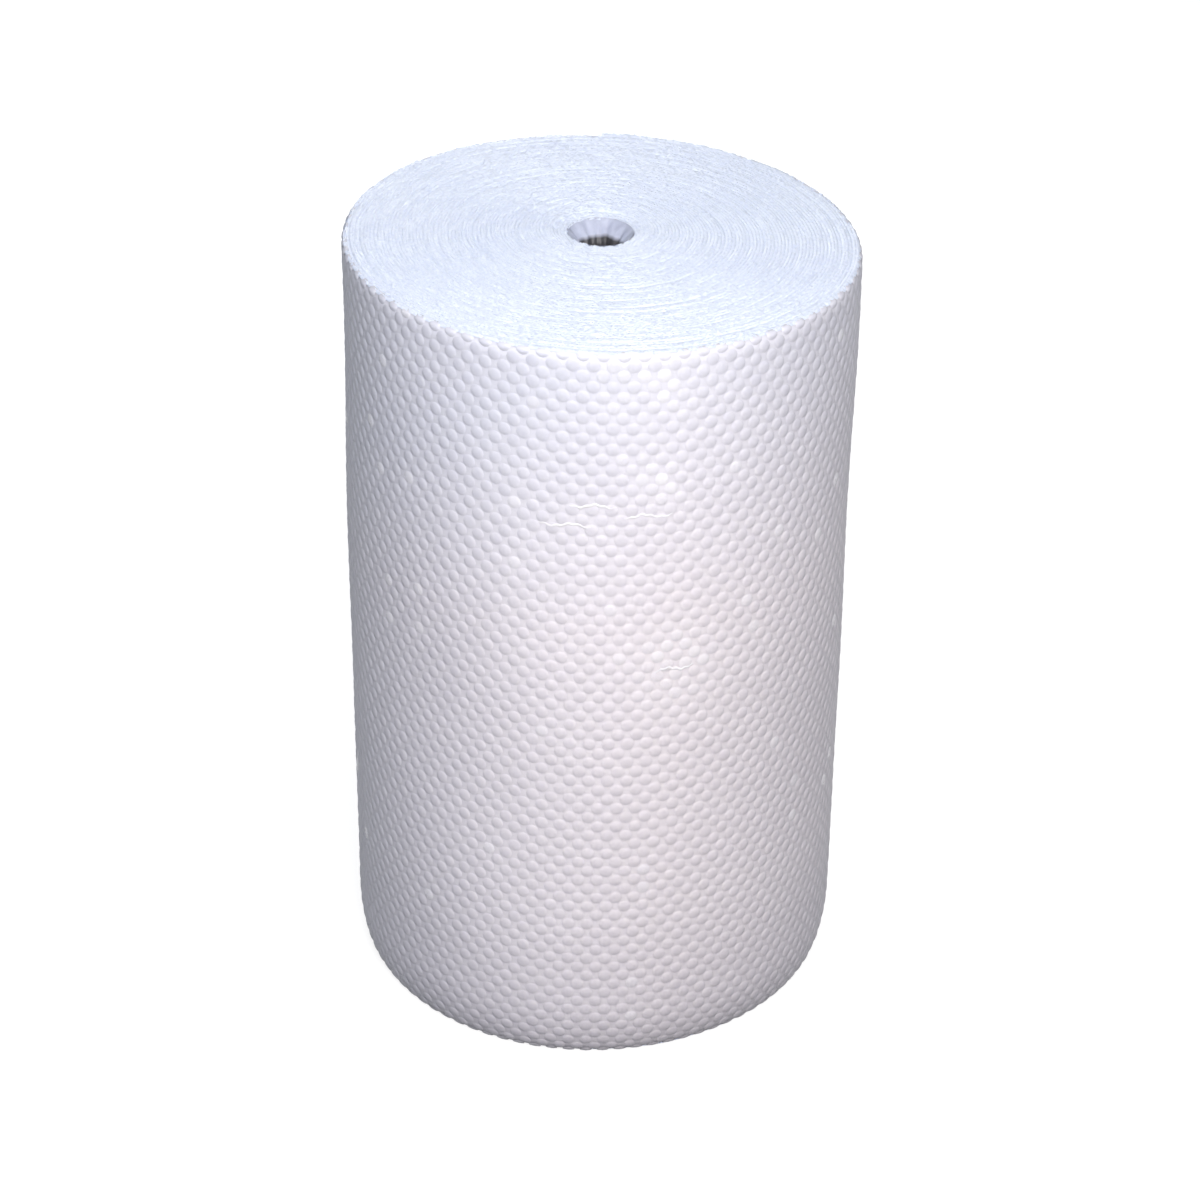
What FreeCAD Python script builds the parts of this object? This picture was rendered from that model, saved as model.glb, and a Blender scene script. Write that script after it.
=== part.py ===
# Roll of small-bubble film, standing on its end, in millimetres.
#
# One long sheet of bubble film is wound on itself with no core tube, so the roll is one piece: a spiral
# of turns round a plain hole. +Z runs up the roll's axis, and the origin is the middle of the end that
# it stands on. The sheet's loose end lies along the wall at +Y, which is the back.
#
# The wall is a lattice of low bubbles, each a four-sided peak between four hollows, and each stands for
# about four and a half of the real film's bubbles. The foot is pressed in by the roll's weight.
#
# The turns show as one spiral gap that runs down from the top and ends above the foot. Each drawn turn
# stands for several real ones.
import FreeCAD, Part
import Sketcher
import os
from math import asin, cos, degrees, pi, sin, sqrt


doc = FreeCAD.newDocument("bubble_film_roll")

sizes = {
    "roll_width": 600.0,  # the film's width, which is the roll's height as it stands
    "roll_diameter": 378.0,  # twice the reach of the loose end, over the bubbles
    "bore_diameter": 30.0,  # the open middle of the innermost turn
    "lip_width": 7.0,  # how far the innermost turns lean outwards at the top, on the radius
    "lip_depth": 16.0,  # how deep into the bore that flare reaches
    "film_step": 4.0,  # how far the wall falls back beyond the loose end: one layer, over the bubbles
    "bubble_width": 31.0,  # from one drawn bubble to the next in the same row, about
    "bubble_height": 37.5,  # from one row to the next but one, which stands in line with it, about
    "bubble_relief": 5.0,  # how deep the hollows between the bubbles are
    "crown_inset": 3.0,  # how far the film's edge is knocked over at the top, on the radius
    "foot_inset": 15.0,  # how far the foot is pressed in, on the radius
    "foot_rise": 50.0,  # the height over which the foot is pressed in
    "outer_wrap": 12.0,  # film outside the gap, at the loose end
    "turn_pitch": 15.2,  # from one drawn turn to the next
    "turn_gap": 1.0,  # the open gap between two drawn turns
    "closed_foot": 20.0,  # how far above the ground the gap ends, where the turns are pressed together
    "inner_ring": 10.5,  # film round the bore inside the innermost gap
    "sealed_strip": 6.0,  # the strip of the loose end that is tacked down, with no gap under it
    "cut_margin": 2.0,  # how far each cutting shape reaches past the face that it cuts
}

sheet = doc.addObject("Spreadsheet::Sheet", "sizes")
for row, (name, value) in enumerate(sizes.items(), start=1):
    sheet.set(f"A{row}", name)
    sheet.set(f"B{row}", str(value))
    sheet.setAlias(f"B{row}", name)
doc.recompute()

# The numbers by which every sketch names a line's points and its own axes and origin.
START, END, CENTRE = range(1, 4)
H_AXIS, V_AXIS = range(-1, -3, -1)
ORIGIN = (H_AXIS, START)


def line(x1, y1, x2, y2):
    return Part.LineSegment(FreeCAD.Vector(x1, y1, 0), FreeCAD.Vector(x2, y2, 0))


def arc(centre_x, centre_y, radius, from_angle, to_angle):
    """A counterclockwise arc between two angles in radians."""
    circle = Part.Circle(FreeCAD.Vector(centre_x, centre_y, 0), FreeCAD.Vector(0, 0, 1), radius)
    return Part.ArcOfCircle(circle, from_angle, to_angle)


def flare_radius(inset, rise):
    """Radius of the arc that leaves a straight line at a tangent and is inset off it after rise."""
    return (inset**2 + rise**2) / (2 * inset)


def add_sketch(body, name, plane, lines, rules, measures):
    """A sketch on one of the body's origin planes. Each measure is a name, a kind, the places that it
    lies between, the first value in millimetres and the formula that it follows from then on."""
    sketch = body.newObject("Sketcher::SketchObject", name)
    support = next(feature for feature in body.Origin.OriginFeatures if feature.Role == plane)
    sketch.AttachmentSupport = (support, [""])
    sketch.MapMode = "FlatFace"
    sketch.addGeometry(lines, False)
    for rule in rules:
        sketch.addConstraint(Sketcher.Constraint(*rule))
    for measure, kind, places, value, formula in measures:
        index = sketch.addConstraint(Sketcher.Constraint(kind, *places, value))
        sketch.renameConstraint(index, measure)
        sketch.setExpression(f"Constraints.{measure}", formula)
    return sketch


def joined_up(count):
    """The rules that join each line of a closed outline of that many lines to the next."""
    return [("Coincident", index, END, (index + 1) % count, START) for index in range(count)]


def foot_inset(height):
    """How far the wall is pressed in at that height, which is an arc of an ellipse."""
    above = min(height / sheet.foot_rise, 1)
    return sheet.foot_inset * (1 - sqrt(1 - (1 - above) ** 2))


def lattice_point(column, row, columns, rows):
    """A peak or a hollow of the wall. Columns run counterclockwise from under the loose end to the
    loose end, while the wall grows by one layer, and peaks and hollows take turns in both directions."""
    turn = column / columns
    height = sheet.roll_width * row / rows
    radius = sheet.roll_diameter / 2 - sheet.film_step * (1 - turn) - foot_inset(height)
    if row == rows:
        radius -= sheet.crown_inset
    if (column + row) % 2:
        radius -= sheet.bubble_relief
    angle = pi / 2 + 2 * pi * turn
    return FreeCAD.Vector(radius * cos(angle), radius * sin(angle), height)


def flat_face(*corners):
    return Part.Face(Part.makePolygon([*corners, corners[0]]))


def make_block():
    """The roll's outer form: the bubbled wall, the cut edge of the sheet and the two ends."""
    columns = 2 * round(pi * sheet.roll_diameter / sheet.bubble_width)
    rows = 2 * round(sheet.roll_width / sheet.bubble_height)
    lattice = [
        [lattice_point(column, row, columns, rows) for column in range(columns + 1)]
        for row in range(rows + 1)
    ]
    faces = [
        flat_face(*[line[0] for line in lattice], *[line[-1] for line in reversed(lattice)]),
        flat_face(*reversed(lattice[0])),
        flat_face(*lattice[-1]),
    ]
    for row, (lower, upper) in enumerate(zip(lattice, lattice[1:])):
        for column in range(columns):
            left, right = column, column + 1
            square = [lower[left], lower[right], upper[right], upper[left]]
            if (column + row) % 2:
                square = square[1:] + square[:1]
            first_peak, first_hollow, second_peak, second_hollow = square
            faces.append(flat_face(first_peak, first_hollow, second_hollow))
            faces.append(flat_face(second_peak, second_hollow, first_hollow))
    print(f"the wall has {columns * (rows + 1) // 2} drawn bubbles")

    shell = Part.makeShell(faces)
    shell.sewShape()
    block = doc.addObject("Part::Feature", "roll_block")
    block.Shape = Part.makeSolid(shell)
    return block


def make_bore():
    """The open middle of the roll, from end to end, with the flare of the innermost turns at the top."""
    body = doc.addObject("PartDesign::Body", "bore")
    height = sheet.roll_width
    bore = sheet.bore_diameter / 2
    width = sheet.lip_width
    depth = sheet.lip_depth
    margin = sheet.cut_margin
    radius = flare_radius(width, depth)
    floor, wall, lip, rim, top, axis = range(6)
    sketch = add_sketch(
        body,
        "bore_section",
        "XZ_Plane",
        [
            line(0, -margin, bore, -margin),
            line(bore, -margin, bore, height - depth),
            arc(bore + radius, height - depth, radius, pi - asin(depth / radius), pi),
            line(bore + width, height, bore + width, height + margin),
            line(bore + width, height + margin, 0, height + margin),
            line(0, height + margin, 0, -margin),
        ],
        [
            ("Coincident", floor, END, wall, START),
            ("Tangent", wall, END, lip, END),
            ("Coincident", lip, START, rim, START),
            ("Coincident", rim, END, top, START),
            ("Coincident", top, END, axis, START),
            ("Coincident", axis, END, floor, START),
            ("PointOnObject", floor, START, V_AXIS),
            ("Horizontal", floor),
            ("Vertical", wall),
            ("Vertical", rim),
            ("Horizontal", top),
            ("Vertical", axis),
        ],
        [
            ("bore", "DistanceX", (*ORIGIN, wall, END), bore, "sizes.bore_diameter / 2"),
            ("lip_width", "DistanceX", (wall, END, rim, START), width, "sizes.lip_width"),
            ("lip_depth", "DistanceY", (wall, END, rim, START), depth, "sizes.lip_depth"),
            ("height", "DistanceY", (*ORIGIN, rim, START), height, "sizes.roll_width"),
            ("above", "DistanceY", (rim, START, rim, END), margin, "sizes.cut_margin"),
            ("below", "DistanceY", (floor, END, *ORIGIN), margin, "sizes.cut_margin"),
        ],
    )
    opening = body.newObject("PartDesign::Revolution", "bore_opening")
    opening.Profile = sketch
    opening.ReferenceAxis = (sketch, ["V_Axis"])
    opening.Angle = 360.0
    return body


def half_turn(from_y, to_y):
    """The half circle that leads counterclockwise from one point of the Y axis to the next. Half
    circles laid end to end run smoothly into each other and make the spiral."""
    side = -1 if from_y > 0 else 1
    middle = FreeCAD.Vector(side * abs(from_y - to_y) / 2, (from_y + to_y) / 2, 0)
    return Part.Arc(FreeCAD.Vector(0, from_y, 0), middle, FreeCAD.Vector(0, to_y, 0)).toShape()


def spiral(outer_reach, growth, count):
    """That many half turns, each growing by growth, that end at outer_reach on the +Y axis."""
    places = []
    for step in range(count, -1, -1):
        side = 1 if step % 2 == 0 else -1
        places.append(side * (outer_reach - growth * step))
    return [half_turn(first, second) for first, second in zip(places, places[1:])], places[0]


def closing_line(from_y, to_y):
    return Part.LineSegment(FreeCAD.Vector(0, from_y, 0), FreeCAD.Vector(0, to_y, 0)).toShape()


def make_gap():
    """The spiral gap between the turns, from under the loose end to the ring round the bore."""
    outside = sheet.roll_diameter / 2 - sheet.outer_wrap
    inside = outside - sheet.turn_gap
    innermost = sheet.bore_diameter / 2 + sheet.inner_ring
    half_count = int(2 * (inside - innermost) / sheet.turn_pitch)
    outer_wall, outer_start = spiral(outside, sheet.turn_pitch / 2, half_count)
    inner_wall, inner_start = spiral(inside, sheet.turn_pitch / 2, half_count)
    edges = outer_wall + [closing_line(outside, inside)]
    edges += inner_wall[::-1] + [closing_line(inner_start, outer_start)]
    print(f"the gap makes {half_count / 2} turns, and starts {abs(inner_start):.1f} mm off the axis")

    section = doc.addObject("Part::Feature", "gap_section")
    section.Shape = Part.Face(Part.Wire(edges))
    section.Placement = FreeCAD.Placement(
        FreeCAD.Vector(0, 0, sheet.closed_foot),
        FreeCAD.Rotation(FreeCAD.Vector(0, 0, 1), -degrees(sheet.sealed_strip / outside)),
    )
    gap = doc.addObject("Part::Extrusion", "gap")
    gap.Base = section
    gap.DirMode = "Custom"
    gap.Dir = FreeCAD.Vector(0, 0, 1)
    gap.Solid = True
    gap.setExpression("LengthFwd", "sizes.roll_width - sizes.closed_foot + sizes.cut_margin")
    return gap


def make_roll():
    hollow = doc.addObject("Part::Cut", "block_with_bore")
    hollow.Base = make_block()
    hollow.Tool = make_bore()
    roll = doc.addObject("Part::Cut", "roll")
    roll.Label = "bubble_film_roll"
    roll.Base = hollow
    roll.Tool = make_gap()
    return roll


pieces = [make_roll()]
doc.recompute()

for item in doc.Objects:
    if "Invalid" in item.State or "Error" in item.State:
        raise RuntimeError(f"{item.Label} failed to build: {item.State}")
for piece in pieces:
    if piece.Shape.isNull() or not piece.Shape.isValid():
        raise RuntimeError(f"{piece.Label} has no valid shape")

os.makedirs("parts", exist_ok=True)
for piece in pieces:
    piece.Shape.exportStep(f"parts/{piece.Label}.step")
    print(piece.Label, "solids", len(piece.Shape.Solids), "volume", round(piece.Shape.Volume))
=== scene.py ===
import math
import bmesh
import bpy
import numpy as np
from mathutils import Matrix, Vector


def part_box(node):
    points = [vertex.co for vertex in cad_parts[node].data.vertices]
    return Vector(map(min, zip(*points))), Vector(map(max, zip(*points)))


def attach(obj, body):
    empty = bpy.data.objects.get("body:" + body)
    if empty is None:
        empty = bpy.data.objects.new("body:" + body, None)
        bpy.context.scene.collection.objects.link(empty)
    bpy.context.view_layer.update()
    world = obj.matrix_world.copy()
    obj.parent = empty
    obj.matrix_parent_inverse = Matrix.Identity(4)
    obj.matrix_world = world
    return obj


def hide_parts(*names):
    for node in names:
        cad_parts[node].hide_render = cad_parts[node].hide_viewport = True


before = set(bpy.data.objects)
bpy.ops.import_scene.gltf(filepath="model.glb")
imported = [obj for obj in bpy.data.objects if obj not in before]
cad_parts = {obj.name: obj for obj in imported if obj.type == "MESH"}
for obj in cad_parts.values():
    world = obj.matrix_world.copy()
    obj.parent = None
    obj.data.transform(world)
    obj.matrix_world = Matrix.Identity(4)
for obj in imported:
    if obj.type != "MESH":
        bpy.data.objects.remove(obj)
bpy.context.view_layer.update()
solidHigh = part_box("bubble_film_roll")[1]

roll = {
    "height": solidHigh.z,
    "reach": solidHigh.y,  # the loose end, over the bubbles
    "step": 0.004,  # how much the wall falls back round one turn
    "footInset": 0.013,
    "footRise": 0.047,
    "crown": 0.004,  # how round the top edge is
    "topTilt": 0.023,  # the film's edges lie a little lower on the right
    "wave": 0.0007,  # how uneven the winding is
    "boreLean": 0.018,  # how far the film on the axis would lean to the back at the top
    "leanReach": 0.12,  # the lean fades out over this radius and this depth
    "leanDepth": 0.06,
}
random = np.random.default_rng(11)


def toMesh(bm, name):
    mesh = bpy.data.meshes.new(name)
    bm.to_mesh(mesh)
    bm.free()
    return mesh


def addPiece(mesh, name, material):
    piece = bpy.data.objects.new(name, mesh)
    bpy.context.scene.collection.objects.link(piece)
    mesh.materials.append(material)
    mesh.shade_smooth()
    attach(piece, "root")
    return piece


def points(mesh):
    flat = np.empty(len(mesh.vertices) * 3)
    mesh.vertices.foreach_get("co", flat)
    return flat.reshape(-1, 3)


def setPoints(mesh, places):
    mesh.vertices.foreach_set("co", places.ravel())
    mesh.update()


def flatGrid(columns, rows):
    # a sheet of 1 by 1 that is rolled, bent or wound afterwards
    bm = bmesh.new()
    bmesh.ops.create_grid(bm, x_segments=columns, y_segments=rows, size=0.5)
    bmesh.ops.translate(bm, verts=bm.verts, vec=(0.5, 0.5, 0))
    return bm


# The wall's outline from the foot up, as the distance along the film and the inset at that height.
outlineZ = np.linspace(0, roll["height"], 1201)
footPart = np.clip((roll["footRise"] - outlineZ) / roll["footRise"], 0, 1)
crownPart = np.clip((outlineZ - roll["height"] + roll["crown"]) / roll["crown"], 0, 1)
outlineInset = roll["footInset"] * (1 - np.sqrt(1 - footPart**2))
outlineInset = outlineInset + roll["crown"] * (1 - np.sqrt(1 - crownPart**2))
outlineSteps = np.hypot(np.diff(outlineZ), np.diff(outlineInset))
outlineRun = np.concatenate([[0], np.cumsum(outlineSteps)])
filmRun = outlineRun[-1]


def softWave(angle, z):
    # a few slow waves that never line up, for an uneven winding
    wave = np.sin(2 * angle + 5 * z + 0.6) + 0.7 * np.sin(3 * angle - 11 * z + 2.1)
    return wave + 0.5 * np.sin(5 * angle + 19 * z + 4.0) + 0.4 * np.sin(27 * z + angle)


def settle(x, y, z):
    # the finished roll's own lean, shared by every piece
    inside = np.clip(1 - np.hypot(x, y) / roll["leanReach"], 0, 1)
    high = np.clip(1 - (roll["height"] - z) / roll["leanDepth"], 0, 1)
    z = z - roll["topTilt"] * x * (z / roll["height"]) ** 2
    return np.stack([x, y + roll["boreLean"] * inside * high, z], axis=1)


def rollUp(turn, run, lift):
    # turn runs from 0 under the loose end to 1 at it, run up the wall, lift outwards
    angle = math.pi / 2 + 2 * math.pi * turn
    z = np.interp(run, outlineRun, outlineZ)
    inset = np.interp(run, outlineRun, outlineInset)
    above = run + 0.0015  # the wall's slope is taken over 3 mm
    below = run - 0.0015
    slopeZ = np.interp(above, outlineRun, outlineZ) - np.interp(below, outlineRun, outlineZ)
    slopeInset = np.interp(above, outlineRun, outlineInset) - np.interp(below, outlineRun, outlineInset)
    length = np.hypot(slopeZ, slopeInset)
    radius = roll["reach"] - roll["step"] * (1 - turn) - inset + lift * slopeZ / length
    radius = radius + roll["wave"] * (softWave(angle, z) - 1)
    z = np.maximum(z + lift * slopeInset / length, 0)
    return settle(radius * np.cos(angle), radius * np.sin(angle), z)


class Wire:
    # the output of a shader node, for sums and products
    def __init__(self, finish, socket):
        self.finish = finish
        self.socket = socket

    def sum(self, operation, first, second):
        return self.finish.node("ShaderNodeMath", {"operation": operation}, {0: first, 1: second})

    def __add__(self, other):
        return self.sum("ADD", self, other)

    def __radd__(self, other):
        return self.sum("ADD", other, self)

    def __sub__(self, other):
        return self.sum("SUBTRACT", self, other)

    def __rsub__(self, other):
        return self.sum("SUBTRACT", other, self)

    def __mul__(self, other):
        return self.sum("MULTIPLY", self, other)

    def __rmul__(self, other):
        return self.sum("MULTIPLY", other, self)


class Finish:
    def __init__(self, name):
        self.material = bpy.data.materials.new(name)
        self.material.use_nodes = True
        self.tree = self.material.node_tree
        self.tree.nodes.clear()

    def node(self, kind, settings=None, sockets=None, output=0):
        made = self.tree.nodes.new(kind)
        for key, value in (settings or {}).items():
            setattr(made, key, value)
        for key, value in (sockets or {}).items():
            if isinstance(value, Wire):
                self.tree.links.new(value.socket, made.inputs[key])
            else:
                made.inputs[key].default_value = value
        return Wire(self, made.outputs[output])

    def place(self):
        return self.node("ShaderNodeTexCoord", output="Object")

    def stretched(self, scale):
        return self.node("ShaderNodeMapping", {}, {"Vector": self.place(), "Scale": scale})

    def noise(self, scale, detail, at=None):
        sockets = {"Vector": at or self.place(), "Scale": scale, "Detail": detail}
        return self.node("ShaderNodeTexNoise", {}, sockets)

    def blend(self, factor, first, second):
        settings = {"data_type": "RGBA"}
        return self.node("ShaderNodeMix", settings, {0: factor, 6: first, 7: second}, output=2)

    def between(self, value, low, high, outLow=0, outHigh=1):
        sockets = {0: value, 1: low, 2: high, 3: outLow, 4: outHigh}
        return self.node("ShaderNodeMapRange", {}, sockets)

    def finishWith(self, sockets):
        surface = self.node("ShaderNodeBsdfPrincipled", {}, sockets)
        output = self.tree.nodes.new("ShaderNodeOutputMaterial")
        self.tree.links.new(surface.socket, output.inputs["Surface"])
        return self.material


film = {
    # the crowns are painted darker than the net between the bubbles: painted shade and painted light over
    # the domes
    "lowNet": (0.95, 0.90, 0.93, 1),  # between the bubbles
    "lowCrown": (0.68, 0.64, 0.67, 1),
    "highNet": (0.83, 0.85, 0.94, 1),  # the same near the top, which is bluer
    "highCrown": (0.60, 0.62, 0.70, 1),
    "deep": (0.36, 0.36, 0.42, 1),  # painted shade where the film turns from the view and at the foot
    "glint": (0.97, 0.97, 1, 1),
    "edgeDark": (0.66, 0.73, 0.91, 1),
    "edgeLight": (0.83, 0.89, 0.99, 1),
    "foldDark": (0.34, 0.37, 0.48, 1),  # round the hole
    "foldLight": (0.62, 0.66, 0.78, 1),
    # painted shade deep in the hole, where the bore falls into shade
    "paintedHoleShade": (0.05, 0.05, 0.055, 1),
}


def milkySockets(colour, roughness, bump):
    # what every face of this film shares
    return {
        "Base Color": colour,
        "Roughness": roughness,
        "Normal": bump,
        "IOR": 1.45,
        "Subsurface Weight": 0.25,
        "Subsurface Radius": (1.0, 1.0, 1.1),
        "Subsurface Scale": 0.006,
    }


def filmColour(paint, tone):
    # milky film: bluer up the wall; bluer on its left as a painted tint of bluish side light; painted
    # shade at the foot and where it turns from the view
    place = {0: paint.place()}
    side = paint.node("ShaderNodeSeparateXYZ", {}, place, output="X")
    height = paint.node("ShaderNodeSeparateXYZ", {}, place, output="Z")
    facing = paint.node("ShaderNodeLayerWeight", {}, {"Blend": 0.4}, output="Facing")
    lower = paint.blend(tone, film["lowCrown"], film["lowNet"])
    upper = paint.blend(tone, film["highCrown"], film["highNet"])
    # bluer up the wall; the bluer left side is a painted tint of the bluish light from that side
    bluer = paint.between(height, 0.38, 0.58) * 0.8 + paint.between(side, 0.05, -0.17) * 0.6
    # painted shade: darker where the surface turns from the view, and towards the foot
    shaded = facing * 0.75 + paint.between(height, 0.13, 0, 0, 0.2)
    return paint.blend(shaded, paint.blend(bluer, lower, upper), film["deep"])


def makeBubbleFinish():
    paint = Finish("bubbleFilm")
    shine = paint.node("ShaderNodeAttribute", {"attribute_name": "shine"}, output="Fac")
    glossAndGlint = paint.node("ShaderNodeAttribute", {"attribute_name": "glossAndGlint"}, output="Fac")
    crown = paint.node("ShaderNodeAttribute", {"attribute_name": "crown"}, output="Fac")
    cloud = paint.noise(9, 3)
    # painted light and shade: each bubble's crown is painted darker and the net between the bubbles
    # lighter, which softens the key light's shading of the domes into dark dots in a light net
    tone = 0.78 - crown * 0.38 + shine * 0.12 + cloud * 0.16
    # painted highlight: glossy bubbles, sparkling ones and the creases are painted towards near-white,
    # besides being less rough
    colour = paint.blend(glossAndGlint * glossAndGlint * 0.8, filmColour(paint, tone), film["glint"])
    scuff = paint.noise(260, 2)
    roughness = 0.36 + scuff * 0.2 - glossAndGlint * 0.34
    bump = paint.node("ShaderNodeBump", {}, {"Strength": 0.25, "Distance": 0.0006, "Height": scuff})
    return paint.finishWith(milkySockets(colour, roughness, bump))


def makeBackingFinish():
    paint = Finish("backingFilm")
    cloud = paint.noise(12, 3)
    scuff = paint.noise(330, 3)
    bump = paint.node("ShaderNodeBump", {}, {"Strength": 0.4, "Distance": 0.0006, "Height": scuff})
    colour = filmColour(paint, 0.8 + cloud * 0.4)
    return paint.finishWith(milkySockets(colour, 0.4 + scuff * 0.15, bump))


def makeEdgeFinish():
    paint = Finish("filmEdges")
    grain = paint.noise(420, 3)
    cloud = paint.noise(14, 2)
    tone = paint.between(grain, 0.3, 0.7) * 0.6 + cloud * 0.4
    colour = paint.blend(tone, film["edgeDark"], film["edgeLight"])
    bump = paint.node("ShaderNodeBump", {}, {"Strength": 0.5, "Distance": 0.0008, "Height": grain})
    return paint.finishWith(milkySockets(colour, 0.3 + grain * 0.3, bump))


def makeBoreFinish():
    paint = Finish("boreFilm")
    height = paint.node("ShaderNodeSeparateXYZ", {}, {0: paint.place()}, output="Z")
    # painted shade: the bore's wall is painted dark below the throat, between the depths dimAt and blackAt
    deep = paint.between(height, roll["height"] - bore["blackAt"], roll["height"] - bore["dimAt"])
    folds = paint.noise(160, 3, paint.stretched((1, 1, 0.15)))
    lit = paint.blend(folds, film["foldDark"], film["foldLight"])
    colour = paint.blend(deep, film["paintedHoleShade"], lit)
    bump = paint.node("ShaderNodeBump", {}, {"Strength": 0.6, "Distance": 0.001, "Height": folds})
    return paint.finishWith(milkySockets(colour, 0.4 + folds * 0.15, bump))


bubble = {
    "around": 85,  # cells of two bubbles each, round the wall and up it
    "up": 38,
    "radius": 0.00515,
    "height": 0.0007,
    "sides": 12,
    "smallest": 0.96,  # of the radius
    "spread": 0.06,
    "squash": 0.25,  # how much flatter the slackest bubble is
    "sparkles": 0.012,  # the share of bubbles that are glossier and carry a painted glint
    "sparkleGlossAndGlint": 0.6,
    "dullest": 0.4,  # the least gloss and painted glint in the middle of a glossy patch
    "glossAndGlintPatches": [  # turn, height and radius of each patch of gloss and painted highlight
        (0.53, 0.578, 0.04),
        (0.535, 0.503, 0.022),
        (0.548, 0.355, 0.036),
    ],
}


def makeDome():
    # one low dome of radius 1 and height 1
    bm = bmesh.new()
    rings = [(1.0, -0.06), (0.85, 0.32), (0.56, 0.73)]  # the radius and height of each
    bmesh.ops.create_circle(bm, cap_ends=True, segments=bubble["sides"], radius=1)
    for (wide, low), (narrow, high) in zip(rings, rings[1:]):
        top = [face for face in bm.faces if len(face.verts) == bubble["sides"]]
        grown = bmesh.ops.extrude_discrete_faces(bm, faces=top)["faces"][0]
        bmesh.ops.scale(bm, vec=(narrow / wide, narrow / wide, 1), verts=grown.verts)
        bmesh.ops.translate(bm, vec=(0, 0, high - low), verts=grown.verts)
    crown = [face for face in bm.faces if len(face.verts) == bubble["sides"]]
    apex = bmesh.ops.poke(bm, faces=crown)["verts"]
    bmesh.ops.translate(bm, vec=(0, 0, 1 - rings[-1][1]), verts=apex)
    bmesh.ops.translate(bm, vec=(0, 0, rings[0][1]), verts=bm.verts)
    return bm


def makeFilm(name, firstCell, cells, material):
    # the film is made flat, bubble by bubble, and then rolled round the wall
    cellWidth = 1 / bubble["around"]
    cellHeight = filmRun / bubble["up"]
    girth = 2 * math.pi * roll["reach"]
    dome = toMesh(makeDome(), name + "Dome")
    domePoints = points(dome)
    perDome = len(domePoints)
    bm = bmesh.new()
    bm.from_mesh(dome)
    total = cells * bubble["up"] * 2
    perFace = len(bm.faces)
    made = 1
    while made < total:
        more = min(made, total - made)
        bm.verts.ensure_lookup_table()
        bm.faces.ensure_lookup_table()
        bmesh.ops.duplicate(bm, geom=bm.verts[: more * perDome] + bm.faces[: more * perFace])
        made += more
    mesh = toMesh(bm, name)
    bpy.data.meshes.remove(dome)
    index = np.arange(total)
    cell, place = np.divmod(index, bubble["up"] * 2)
    row, middle = np.divmod(place, 2)
    turn = (firstCell + cell + 0.25 + middle * 0.5) * cellWidth
    run = (row + 0.25 + middle * 0.5) * cellHeight
    flat = np.tile(domePoints, (total, 1)).reshape(total, perDome, 3)
    fullness = 1 - bubble["squash"] * random.random(total) ** 2
    size = bubble["radius"] * (bubble["smallest"] + bubble["spread"] * random.random(total))
    turns = np.clip(turn[:, None] + flat[:, :, 0] * size[:, None] / girth, 0, 1)
    runs = run[:, None] + flat[:, :, 1] * size[:, None]
    lifts = (flat[:, :, 2] * fullness[:, None] - 1) * bubble["height"]
    setPoints(mesh, rollUp(turns.ravel(), runs.ravel(), lifts.ravel()))
    patches = 0
    for spot, high, wide in bubble["glossAndGlintPatches"]:
        patches = patches + np.exp(-(np.hypot((turn - spot) * girth, run - high) / wide) ** 2)
    dull = bubble["dullest"]
    glossAndGlint = np.clip(patches, 0, 1) * (dull + (1 - dull) * random.random(total))
    sparkling = random.random(total) < bubble["sparkles"]
    glossAndGlint = np.maximum(glossAndGlint, sparkling * bubble["sparkleGlossAndGlint"])
    looks = {
        "shine": np.repeat(random.random(total), perDome),
        "glossAndGlint": np.repeat(glossAndGlint, perDome),
        "crown": np.clip(flat[:, :, 2], 0, 1).ravel(),
    }
    for title, values in looks.items():
        mesh.attributes.new(title, "FLOAT", "POINT").data.foreach_set("value", values)
    return addPiece(mesh, name, material)


sheet = {
    "columns": 320,
    "rows": 90,
    "tuck": 1.1,  # how far the cut edge turns in, in layers of film
}


def makeBacking(material):
    # the sheet that the bubbles stand on, with its cut edge at the loose end
    columns = sheet["columns"]
    mesh = toMesh(flatGrid(columns, sheet["rows"]), "backingSheet")
    flat = points(mesh)
    turn = np.minimum(flat[:, 0] * columns / (columns - 1), 1)
    under = flat[:, 0] > 1 - 0.5 / columns  # the cut edge turns in to the film below
    lift = np.where(under, -bubble["height"] - roll["step"] * sheet["tuck"], -bubble["height"])
    setPoints(mesh, rollUp(turn, flat[:, 1] * filmRun, lift))
    return addPiece(mesh, "backingSheet", material)


ends = {
    "turns": 64,
    "columns": 32000,
    "footColumns": 14000,
    "innerRadius": 0.0225,
    "groove": 0.00045,  # between one turn and the next
    "ragged": 0.00036,
    "ripple": 0.0005,
    "proud": 0.0003,  # how much one turn may stand over the next
    "overhang": 0.0014,  # how far inside the bubbles' tops the outermost edge lies
    "dish": 0.004,  # how far the innermost turns sink at the top
    "dishRadius": 0.045,
    "footHeight": 0.0015,  # how far the edges at the foot may lie off the floor
    "footLeast": 0.0002,  # they never lie in the floor's own plane
}


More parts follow.
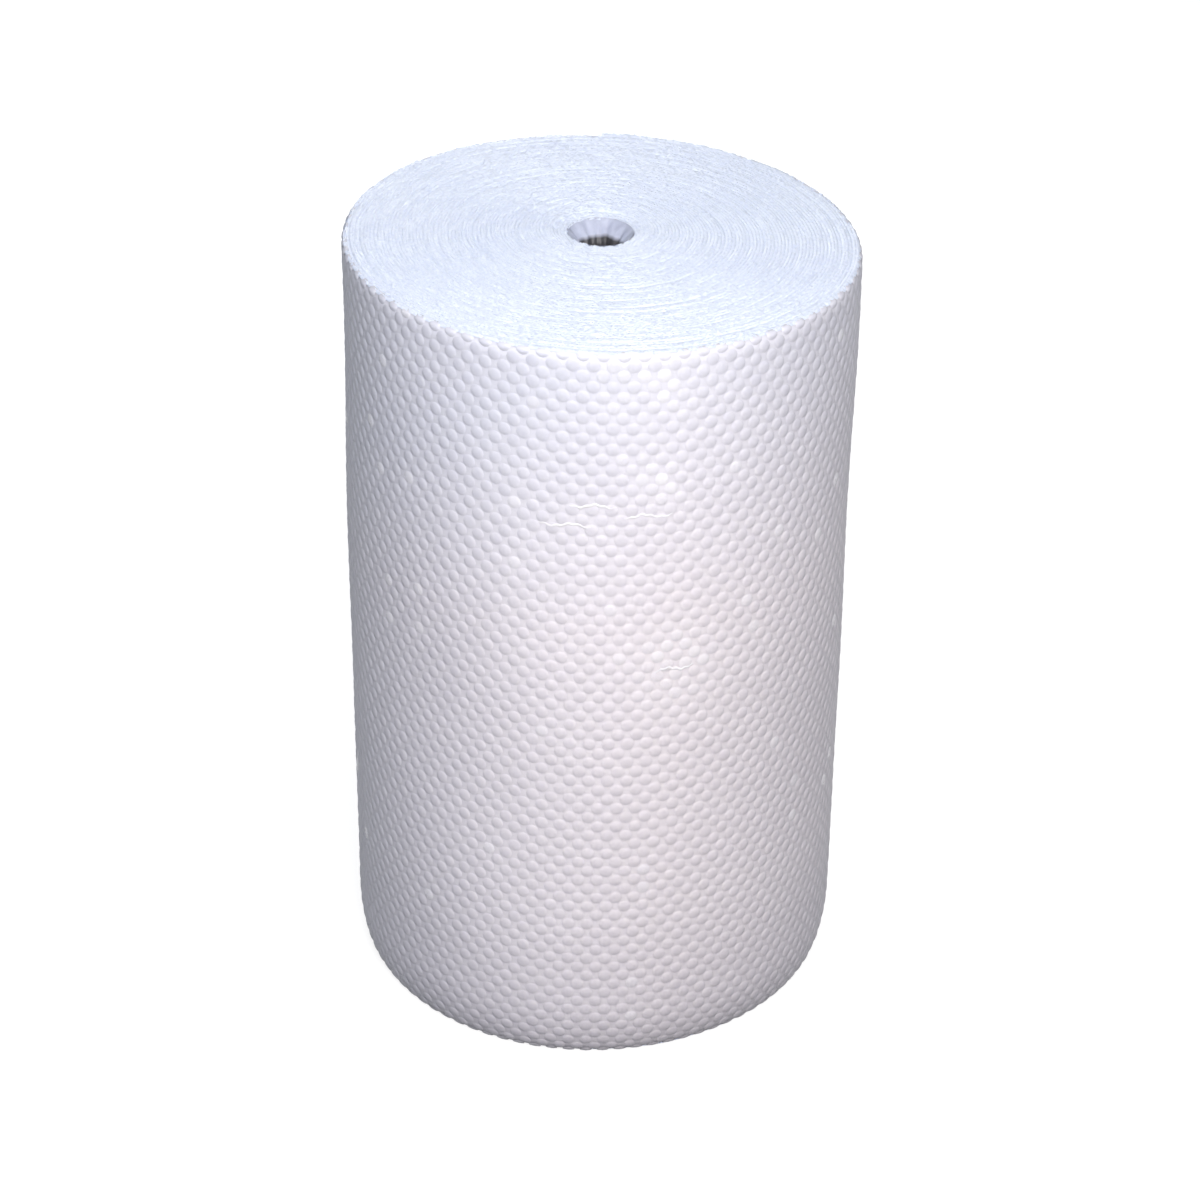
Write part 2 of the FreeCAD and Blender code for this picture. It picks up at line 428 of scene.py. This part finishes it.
def makeEnd(name, top, material):
    # the edges of all the turns, wound as one ribbon from the wall to the bore
    columns = ends["columns"] if top else ends["footColumns"]
    mesh = toMesh(flatGrid(columns, 3), name)
    flat = points(mesh)
    rim = roll["reach"] - (ends["overhang"] if top else roll["footInset"] + bubble["height"])
    pitch = (rim - roll["step"] - ends["innerRadius"]) / ends["turns"]
    # columns are laid evenly along the film, so they are closer in turn on the longer outer turns
    turnSteps = np.linspace(0, ends["turns"], 2001)
    filmLength = rim * turnSteps - pitch * turnSteps**2 / 2
    wound = np.interp(flat[:, 0] * filmLength[-1], filmLength, turnSteps)
    across = flat[:, 1]
    angle = math.pi / 2 - 2 * math.pi * wound
    turnsIn = wound + across
    wayIn = np.where(turnsIn < 1, roll["step"] * turnsIn, roll["step"] + pitch * (turnsIn - 1))
    radius = rim - wayIn
    seam = np.isclose(across, 0) | np.isclose(across, 1)
    lift = np.where(seam, -ends["groove"], 0)
    proud = random.normal(0, 1, ends["turns"] + 2)
    lift = lift + np.interp(turnsIn, np.arange(ends["turns"] + 2), proud) * ends["proud"]
    column = np.rint(flat[:, 0] * columns).astype(int)
    ragged = random.normal(0, ends["ragged"], columns + 1)[column]
    lift = lift + np.where(seam, 0, ragged)  # neighbouring turns meet without a crack
    ripple = np.sin(angle * 7 + radius * 260) * np.sin(angle * 11 - radius * 420)
    lift = lift + ends["ripple"] * ripple
    if top:
        dishWidth = ends["dishRadius"] - ends["innerRadius"]
        inner = np.clip((ends["dishRadius"] - radius) / dishWidth, 0, 1)
        outward = radius - (roll["reach"] - roll["step"] * (wound % 1) - roll["crown"])
        over = np.clip(outward / roll["crown"], 0, 0.9)
        fall = ends["dish"] * inner**2 + roll["crown"] * (1 - np.sqrt(1 - over**2))
        z = roll["height"] + lift - fall
        wave = roll["wave"] * (softWave(angle, roll["height"]) - 1)
        radius = radius + wave * np.clip(over * 3, 0, 1)
    else:
        z = np.maximum(ends["footHeight"] - np.abs(lift), ends["footLeast"])
    setPoints(mesh, settle(radius * np.cos(angle), radius * np.sin(angle), z))
    if top:
        mesh.flip_normals()
    return addPiece(mesh, name, material)


creases = {
    "lines": [  # turn, height and length of each
        (0.4975, 0.486, 0.034),
        (0.481, 0.470, 0.040),
        (0.531, 0.478, 0.036),
        (0.549, 0.352, 0.030),
    ],
    "width": 0.0024,
    "proud": 0.0004,
    "sunk": 0.0003,  # how far the sides lie below the bubbles' tops
    "sway": 0.0012,
    "tremble": 0.0005,
}


def makeCreases(material):
    # thin glinting folds where the film is pulled flat over its bubbles
    bm = bmesh.new()
    girth = 2 * math.pi * roll["reach"]
    for turn, high, length in creases["lines"]:
        mesh = toMesh(flatGrid(40, 4), "crease")
        flat = points(mesh)
        along = flat[:, 0] - 0.5
        taper = np.sqrt(np.maximum(1 - (2 * along) ** 2, 0))
        wander = creases["sway"] * np.sin(9 * along + 40 * turn)
        wander = wander + creases["tremble"] * np.sin(31 * along)
        run = high + wander + (flat[:, 1] - 0.5) * creases["width"] * taper
        lift = creases["proud"] * (1 - (2 * flat[:, 1] - 1) ** 2) * taper - creases["sunk"]
        setPoints(mesh, rollUp(turn + along * length / girth, run, lift))
        bm.from_mesh(mesh)
        bpy.data.meshes.remove(mesh)
    joined = toMesh(bm, "creases")
    # shine and gloss at full paint the folds near-white: a painted highlight along each fold, as well as a
    # glossier surface
    full = np.ones(len(joined.vertices))
    for title in ("shine", "glossAndGlint"):
        joined.attributes.new(title, "FLOAT", "POINT").data.foreach_set("value", full)
    return addPiece(joined, "creases", material)


bore = {
    "mouth": 0.0242,
    "throat": 0.0140,
    "throatDepth": 0.015,
    "radius": 0.0155,
    "widening": 0.02,  # how far below the throat the bore is at its full radius
    "fineDepth": 0.03,  # half of the rows lie above this depth
    "footGap": 0.001,
    "sunk": 0.8,  # how much of the ends' dish its rim follows
    "dimAt": 0.0118,  # painted shade in the hole fades in between these depths
    "blackAt": 0.0145,
    "columns": 120,
    "rows": 60,
    "fold": 0.0009,
}


def makeBore(material):
    # the folded film round the hole, from its flared mouth to the foot
    mesh = toMesh(flatGrid(bore["columns"], bore["rows"]), "boreFilm")
    flat = points(mesh)
    angle = 2 * math.pi * flat[:, 0]
    top = roll["height"] - ends["dish"] * bore["sunk"]
    fine = bore["fineDepth"]
    steps = np.linspace(0, 1, bore["rows"] + 1)
    lower = fine + (steps - 0.5) * 2 * (top - fine - bore["footGap"])
    depth = np.where(steps < 0.5, fine * steps * 2, lower)
    fall = np.clip(depth / bore["throatDepth"], 0, 1)
    wide = bore["throat"] + (bore["mouth"] - bore["throat"]) * (1 - fall) ** 1.6
    past = np.clip((depth - bore["throatDepth"]) / bore["widening"], 0, 1)
    wide = wide + (bore["radius"] - bore["throat"]) * past
    down = np.interp(flat[:, 1], steps, depth)
    radius = np.interp(flat[:, 1], steps, wide)
    fold = np.sin(angle * 5 + 1) + 0.8 * np.sin(angle * 9 + 2 + down * 60)
    fold = fold + 0.5 * np.sin(angle * 17 + 4)
    fold = fold * np.clip(down / 0.004, 0, 1) * np.clip(1.3 - down / 0.06, 0.3, 1)  # smoother at both ends
    radius = radius + bore["fold"] * fold
    setPoints(mesh, settle(radius * np.cos(angle), radius * np.sin(angle), top - down))
    return addPiece(mesh, "boreFilm", material)


bubbleFinish = makeBubbleFinish()
backingFinish = makeBackingFinish()
edgeFinish = makeEdgeFinish()
boreFinish = makeBoreFinish()
print("finishes made")

halfWay = bubble["around"] // 2
makeFilm("bubblesLeft", 0, halfWay, bubbleFinish)
makeFilm("bubblesRight", halfWay, bubble["around"] - halfWay, bubbleFinish)
print("bubbles made")
backing = makeBacking(backingFinish)
makeEnd("topEdges", True, edgeFinish)
makeEnd("footEdges", False, edgeFinish)
makeBore(boreFinish)
makeCreases(bubbleFinish)
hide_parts("bubble_film_roll")
print("film, ends and bore made")


studio = {
    "floor": 12.0,
    "floorColour": (0.07, 0.07, 0.08, 1),  # what the roll sees of the floor
    "floorGlow": 0.74,  # how much of the floor's look is its own white, and not light on it
    "floorWhite": 1.14,
    "air": (0.86, 0.91, 1.0, 1),
    "airStrength": 0.15,
    "lamps": [  # name, place, height that it is aimed at, size, power and colour
        ("key", (0.20, -1.9, 1.75), 0.45, 0.8, 59.5, (1.0, 0.965, 0.97)),
        ("overhead", (0.1, 0.2, 2.6), 0.6, 1.6, 6.5, (0.88, 0.94, 1.0)),
        ("back", (-0.3, 2.2, 0.75), 0.3, 1.2, 34, (0.94, 0.96, 1.0)),
        ("fill", (-2.4, -1.2, 1.0), 0.3, 1.4, 4, (0.66, 0.80, 1.0)),
        ("rightSide", (2.3, 0.6, 0.9), 0.3, 1.4, 7.5, (0.94, 0.96, 1.0)),
        ("leftSide", (-2.3, 0.9, 0.9), 0.3, 1.4, 6, (0.90, 0.94, 1.0)),
    ],
}


def makeFloor():
    bm = bmesh.new()
    bmesh.ops.create_grid(bm, x_segments=1, y_segments=1, size=studio["floor"])
    floor = bpy.data.objects.new("floor", toMesh(bm, "floor"))
    bpy.context.scene.collection.objects.link(floor)
    paint = Finish("paleFloor")
    path = paint.tree.nodes.new("ShaderNodeLightPath")
    seen = Wire(paint, path.outputs["Is Camera Ray"]) + Wire(paint, path.outputs["Is Glossy Ray"])
    seen = seen + Wire(paint, path.outputs["Is Transmission Ray"])
    lit = paint.node("ShaderNodeBsdfDiffuse", {}, {"Color": (0.9, 0.9, 0.9, 1)})
    white = {"Color": (1, 1, 1, 1), "Strength": studio["floorWhite"]}
    glow = paint.node("ShaderNodeEmission", {}, white)
    pale = paint.node("ShaderNodeMixShader", {}, {0: studio["floorGlow"], 1: lit, 2: glow})
    bounce = paint.node("ShaderNodeBsdfDiffuse", {}, {"Color": studio["floorColour"]})
    surface = paint.node("ShaderNodeMixShader", {}, {0: seen, 1: bounce, 2: pale})
    output = paint.tree.nodes.new("ShaderNodeOutputMaterial")
    paint.tree.links.new(surface.socket, output.inputs["Surface"])
    floor.data.materials.append(paint.material)


def makeWorld():
    world = bpy.data.worlds.new("studioAir")
    bpy.context.scene.world = world
    world.use_nodes = True
    tree = world.node_tree
    tree.nodes.clear()
    path = tree.nodes.new("ShaderNodeLightPath")
    air = tree.nodes.new("ShaderNodeBackground")
    air.inputs["Color"].default_value = studio["air"]
    air.inputs["Strength"].default_value = studio["airStrength"]
    white = tree.nodes.new("ShaderNodeBackground")
    white.inputs["Color"].default_value = (1, 1, 1, 1)
    mix = tree.nodes.new("ShaderNodeMixShader")
    output = tree.nodes.new("ShaderNodeOutputWorld")
    tree.links.new(path.outputs["Is Camera Ray"], mix.inputs[0])
    tree.links.new(air.outputs[0], mix.inputs[1])
    tree.links.new(white.outputs[0], mix.inputs[2])
    tree.links.new(mix.outputs[0], output.inputs["Surface"])


def addLight(name, place, aimHeight, size, power, colour):
    lamp = bpy.data.lights.new(name, "AREA")
    lamp.shape = "DISK"
    lamp.size = size
    lamp.energy = power
    lamp.color = colour
    light = bpy.data.objects.new(name, lamp)
    light.location = place
    light.visible_camera = False
    towards = Vector((0, 0, aimHeight)) - Vector(place)
    light.rotation_euler = towards.to_track_quat("-Z", "Y").to_euler()
    bpy.context.scene.collection.objects.link(light)


makeFloor()
makeWorld()
for lamp in studio["lamps"]:
    addLight(*lamp)
print("floor and lights made")

camera = {
    "back": 2.154,
    "high": 1.594,
    "pitch": 31.07,
    "roll": 0.78,
    "yaw": -0.09,
    "lens": 99.1,
}
lens = bpy.data.cameras.new("camera")
lens.lens = camera["lens"]
lens.sensor_width = 36
eye = bpy.data.objects.new("camera", lens)
bpy.context.scene.collection.objects.link(eye)
turned = Matrix.Rotation(math.radians(camera["yaw"]), 4, "Z")
turned = turned @ Matrix.Rotation(math.radians(90 - camera["pitch"]), 4, "X")
turned = turned @ Matrix.Rotation(math.radians(camera["roll"]), 4, "Z")
eye.matrix_world = Matrix.Translation((0, -camera["back"], camera["high"])) @ turned
bpy.context.scene.camera = eye
bpy.context.scene.view_settings.view_transform = "Standard"
